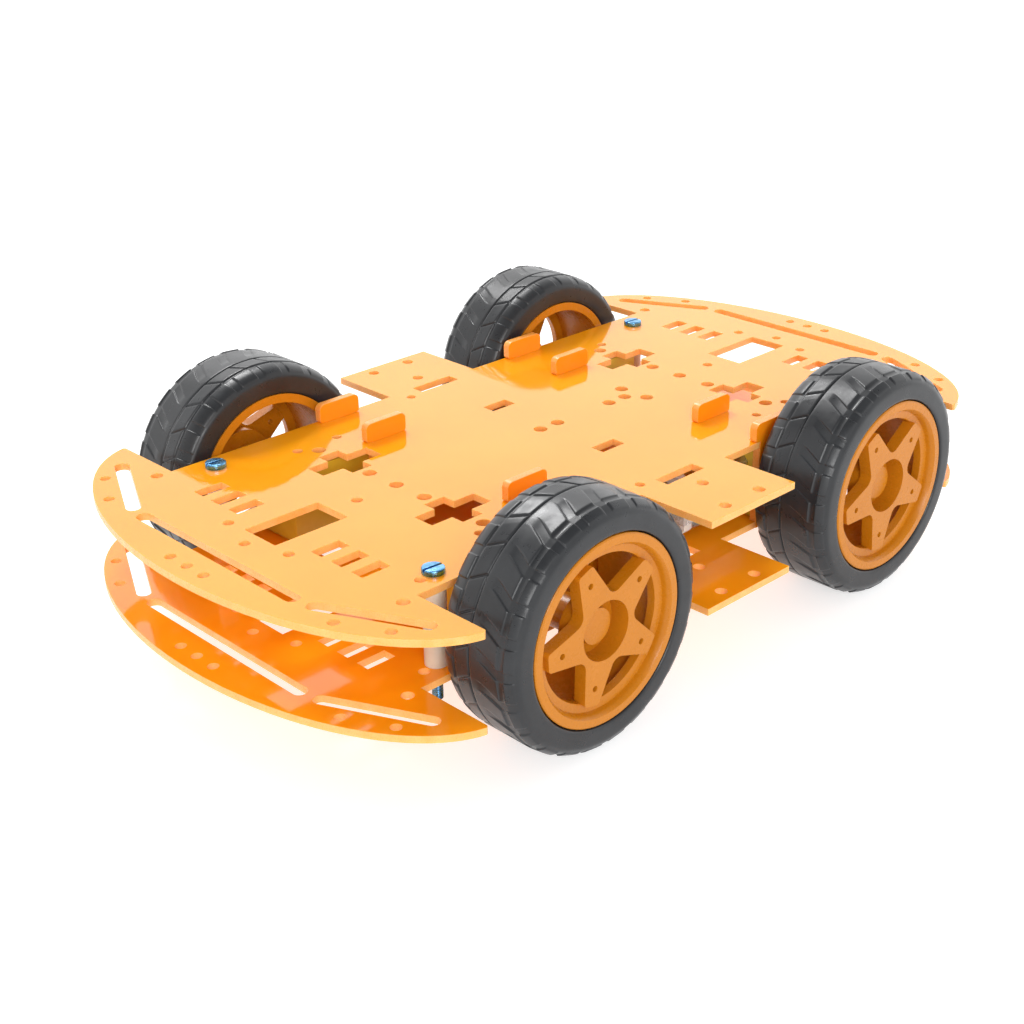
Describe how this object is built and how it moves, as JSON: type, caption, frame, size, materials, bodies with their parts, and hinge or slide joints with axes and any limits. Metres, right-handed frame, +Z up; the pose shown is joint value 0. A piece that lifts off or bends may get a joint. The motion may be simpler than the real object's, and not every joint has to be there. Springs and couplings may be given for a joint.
{
  "type": "four wheel robot chassis",
  "caption": "Two-deck orange acrylic robot chassis with four geared hobby motors on acrylic brackets and four spoked wheels with treaded rubber tyres.",
  "frame": {"origin": "on the ground, below the middle of the chassis", "axes": "+X forward, along the length; +Y left, along the wheel axles; +Z up"},
  "size_m": [0.258, 0.1564, 0.066],
  "materials": {
    "acrylic_sheet": "glossy",
    "rim_plastic": "satin",
    "tyre_rubber": "satin",
    "zinc_screw": "zinc plated",
    "nylon": "matte",
    "gearbox_plastic": "satin",
    "gear_plastic": "satin",
    "shaft_plastic": "satin",
    "cap_plastic": "matte",
    "strap_plastic": "glossy",
    "steel": "drawn",
    "magnet": "matte",
    "brass": "plain"
  },
  "bodies": {
    "chassis": {"upper_deck": "acrylic_sheet", "lower_deck": "acrylic_sheet", "corner_screws": "zinc_screw", "corner_spacers": "nylon", "corner_nuts": "zinc_screw", "bracket_screws": "zinc_screw", "bracket_nuts": "zinc_screw", "gear_pins": "steel", "motor_magnets": "magnet", "motor_terminals": "brass", "motor_straps": "strap_plastic", "front_left_brackets": "acrylic_sheet", "front_left_gearbox_cover": "gearbox_plastic", "front_left_gearbox_base": "gearbox_plastic", "front_left_motor_can": "steel", "front_left_motor_end_cap": "cap_plastic", "front_right_brackets": "acrylic_sheet", "front_right_gearbox_cover": "gearbox_plastic", "front_right_gearbox_base": "gearbox_plastic", "front_right_motor_can": "steel", "front_right_motor_end_cap": "cap_plastic", "rear_left_brackets": "acrylic_sheet", "rear_left_gearbox_cover": "gearbox_plastic", "rear_left_gearbox_base": "gearbox_plastic", "rear_left_motor_can": "steel", "rear_left_motor_end_cap": "cap_plastic", "rear_right_brackets": "acrylic_sheet", "rear_right_gearbox_cover": "gearbox_plastic", "rear_right_gearbox_base": "gearbox_plastic", "rear_right_motor_can": "steel", "rear_right_motor_end_cap": "cap_plastic"},
    "front_left_wheel": {"front_left_tyre": "tyre_rubber", "front_left_rim": "rim_plastic", "front_left_output_gear": "shaft_plastic"},
    "front_left_compound_gear": {"front_left_compound_gear": "gear_plastic"},
    "front_left_idler_gear": {"front_left_idler_gear": "gear_plastic"},
    "front_left_crown_gear": {"front_left_crown_gear": "gear_plastic"},
    "front_left_armature": {"front_left_armature": "steel"},
    "front_right_wheel": {"front_right_tyre": "tyre_rubber", "front_right_rim": "rim_plastic", "front_right_output_gear": "shaft_plastic"},
    "front_right_compound_gear": {"front_right_compound_gear": "gear_plastic"},
    "front_right_idler_gear": {"front_right_idler_gear": "gear_plastic"},
    "front_right_crown_gear": {"front_right_crown_gear": "gear_plastic"},
    "front_right_armature": {"front_right_armature": "steel"},
    "rear_left_wheel": {"rear_left_tyre": "tyre_rubber", "rear_left_rim": "rim_plastic", "rear_left_output_gear": "shaft_plastic"},
    "rear_left_compound_gear": {"rear_left_compound_gear": "gear_plastic"},
    "rear_left_idler_gear": {"rear_left_idler_gear": "gear_plastic"},
    "rear_left_crown_gear": {"rear_left_crown_gear": "gear_plastic"},
    "rear_left_armature": {"rear_left_armature": "steel"},
    "rear_right_wheel": {"rear_right_tyre": "tyre_rubber", "rear_right_rim": "rim_plastic", "rear_right_output_gear": "shaft_plastic"},
    "rear_right_compound_gear": {"rear_right_compound_gear": "gear_plastic"},
    "rear_right_idler_gear": {"rear_right_idler_gear": "gear_plastic"},
    "rear_right_crown_gear": {"rear_right_crown_gear": "gear_plastic"},
    "rear_right_armature": {"rear_right_armature": "steel"}
  },
  "joints": [
    {"name": "front_left_wheel_spin", "type": "hinge", "parent": "chassis", "child": "front_left_wheel", "pos_m": [0.0587, 0.0392, 0.033], "axis": [0, 1, 0], "continuous": true},
    {"name": "front_left_compound_gear_spin", "type": "hinge", "parent": "chassis", "child": "front_left_compound_gear", "pos_m": [0.0467, 0.0392, 0.033], "axis": [0, 1, 0], "continuous": true},
    {"name": "front_left_idler_gear_spin", "type": "hinge", "parent": "chassis", "child": "front_left_idler_gear", "pos_m": [0.0587, 0.0392, 0.033], "axis": [0, 1, 0], "continuous": true},
    {"name": "front_left_crown_gear_spin", "type": "hinge", "parent": "chassis", "child": "front_left_crown_gear", "pos_m": [0.0467, 0.0392, 0.033], "axis": [0, 1, 0], "continuous": true},
    {"name": "front_left_armature_spin", "type": "hinge", "parent": "chassis", "child": "front_left_armature", "pos_m": [0.0467, 0.0392, 0.033], "axis": [1, 0, 0], "continuous": true},
    {"name": "front_right_wheel_spin", "type": "hinge", "parent": "chassis", "child": "front_right_wheel", "pos_m": [0.0587, -0.0392, 0.033], "axis": [0, 1, 0], "continuous": true},
    {"name": "front_right_compound_gear_spin", "type": "hinge", "parent": "chassis", "child": "front_right_compound_gear", "pos_m": [0.0467, -0.0392, 0.033], "axis": [0, 1, 0], "continuous": true},
    {"name": "front_right_idler_gear_spin", "type": "hinge", "parent": "chassis", "child": "front_right_idler_gear", "pos_m": [0.0587, -0.0392, 0.033], "axis": [0, 1, 0], "continuous": true},
    {"name": "front_right_crown_gear_spin", "type": "hinge", "parent": "chassis", "child": "front_right_crown_gear", "pos_m": [0.0467, -0.0392, 0.033], "axis": [0, 1, 0], "continuous": true},
    {"name": "front_right_armature_spin", "type": "hinge", "parent": "chassis", "child": "front_right_armature", "pos_m": [0.0467, -0.0392, 0.033], "axis": [1, 0, 0], "continuous": true},
    {"name": "rear_left_wheel_spin", "type": "hinge", "parent": "chassis", "child": "rear_left_wheel", "pos_m": [-0.0587, 0.0392, 0.033], "axis": [0, 1, 0], "continuous": true},
    {"name": "rear_left_compound_gear_spin", "type": "hinge", "parent": "chassis", "child": "rear_left_compound_gear", "pos_m": [-0.0467, 0.0392, 0.033], "axis": [0, 1, 0], "continuous": true},
    {"name": "rear_left_idler_gear_spin", "type": "hinge", "parent": "chassis", "child": "rear_left_idler_gear", "pos_m": [-0.0587, 0.0392, 0.033], "axis": [0, 1, 0], "continuous": true},
    {"name": "rear_left_crown_gear_spin", "type": "hinge", "parent": "chassis", "child": "rear_left_crown_gear", "pos_m": [-0.0467, 0.0392, 0.033], "axis": [0, 1, 0], "continuous": true},
    {"name": "rear_left_armature_spin", "type": "hinge", "parent": "chassis", "child": "rear_left_armature", "pos_m": [-0.0467, 0.0392, 0.033], "axis": [1, 0, 0], "continuous": true},
    {"name": "rear_right_wheel_spin", "type": "hinge", "parent": "chassis", "child": "rear_right_wheel", "pos_m": [-0.0587, -0.0392, 0.033], "axis": [0, 1, 0], "continuous": true},
    {"name": "rear_right_compound_gear_spin", "type": "hinge", "parent": "chassis", "child": "rear_right_compound_gear", "pos_m": [-0.0467, -0.0392, 0.033], "axis": [0, 1, 0], "continuous": true},
    {"name": "rear_right_idler_gear_spin", "type": "hinge", "parent": "chassis", "child": "rear_right_idler_gear", "pos_m": [-0.0587, -0.0392, 0.033], "axis": [0, 1, 0], "continuous": true},
    {"name": "rear_right_crown_gear_spin", "type": "hinge", "parent": "chassis", "child": "rear_right_crown_gear", "pos_m": [-0.0467, -0.0392, 0.033], "axis": [0, 1, 0], "continuous": true},
    {"name": "rear_right_armature_spin", "type": "hinge", "parent": "chassis", "child": "rear_right_armature", "pos_m": [-0.0467, -0.0392, 0.033], "axis": [1, 0, 0], "continuous": true}
  ],
  "couplings": [
    {"joint": "front_left_compound_gear_spin", "follows": "front_left_wheel_spin", "ratio": -2.2},
    {"joint": "front_left_idler_gear_spin", "follows": "front_left_wheel_spin", "ratio": 4.84},
    {"joint": "front_left_crown_gear_spin", "follows": "front_left_wheel_spin", "ratio": -10.648},
    {"joint": "front_left_armature_spin", "follows": "front_left_wheel_spin", "ratio": 47.916},
    {"joint": "front_right_compound_gear_spin", "follows": "front_right_wheel_spin", "ratio": -2.2},
    {"joint": "front_right_idler_gear_spin", "follows": "front_right_wheel_spin", "ratio": 4.84},
    {"joint": "front_right_crown_gear_spin", "follows": "front_right_wheel_spin", "ratio": -10.648},
    {"joint": "front_right_armature_spin", "follows": "front_right_wheel_spin", "ratio": -47.916},
    {"joint": "rear_left_compound_gear_spin", "follows": "rear_left_wheel_spin", "ratio": -2.2},
    {"joint": "rear_left_idler_gear_spin", "follows": "rear_left_wheel_spin", "ratio": 4.84},
    {"joint": "rear_left_crown_gear_spin", "follows": "rear_left_wheel_spin", "ratio": -10.648},
    {"joint": "rear_left_armature_spin", "follows": "rear_left_wheel_spin", "ratio": -47.916},
    {"joint": "rear_right_compound_gear_spin", "follows": "rear_right_wheel_spin", "ratio": -2.2},
    {"joint": "rear_right_idler_gear_spin", "follows": "rear_right_wheel_spin", "ratio": 4.84},
    {"joint": "rear_right_crown_gear_spin", "follows": "rear_right_wheel_spin", "ratio": -10.648},
    {"joint": "rear_right_armature_spin", "follows": "rear_right_wheel_spin", "ratio": 47.916}
  ]
}
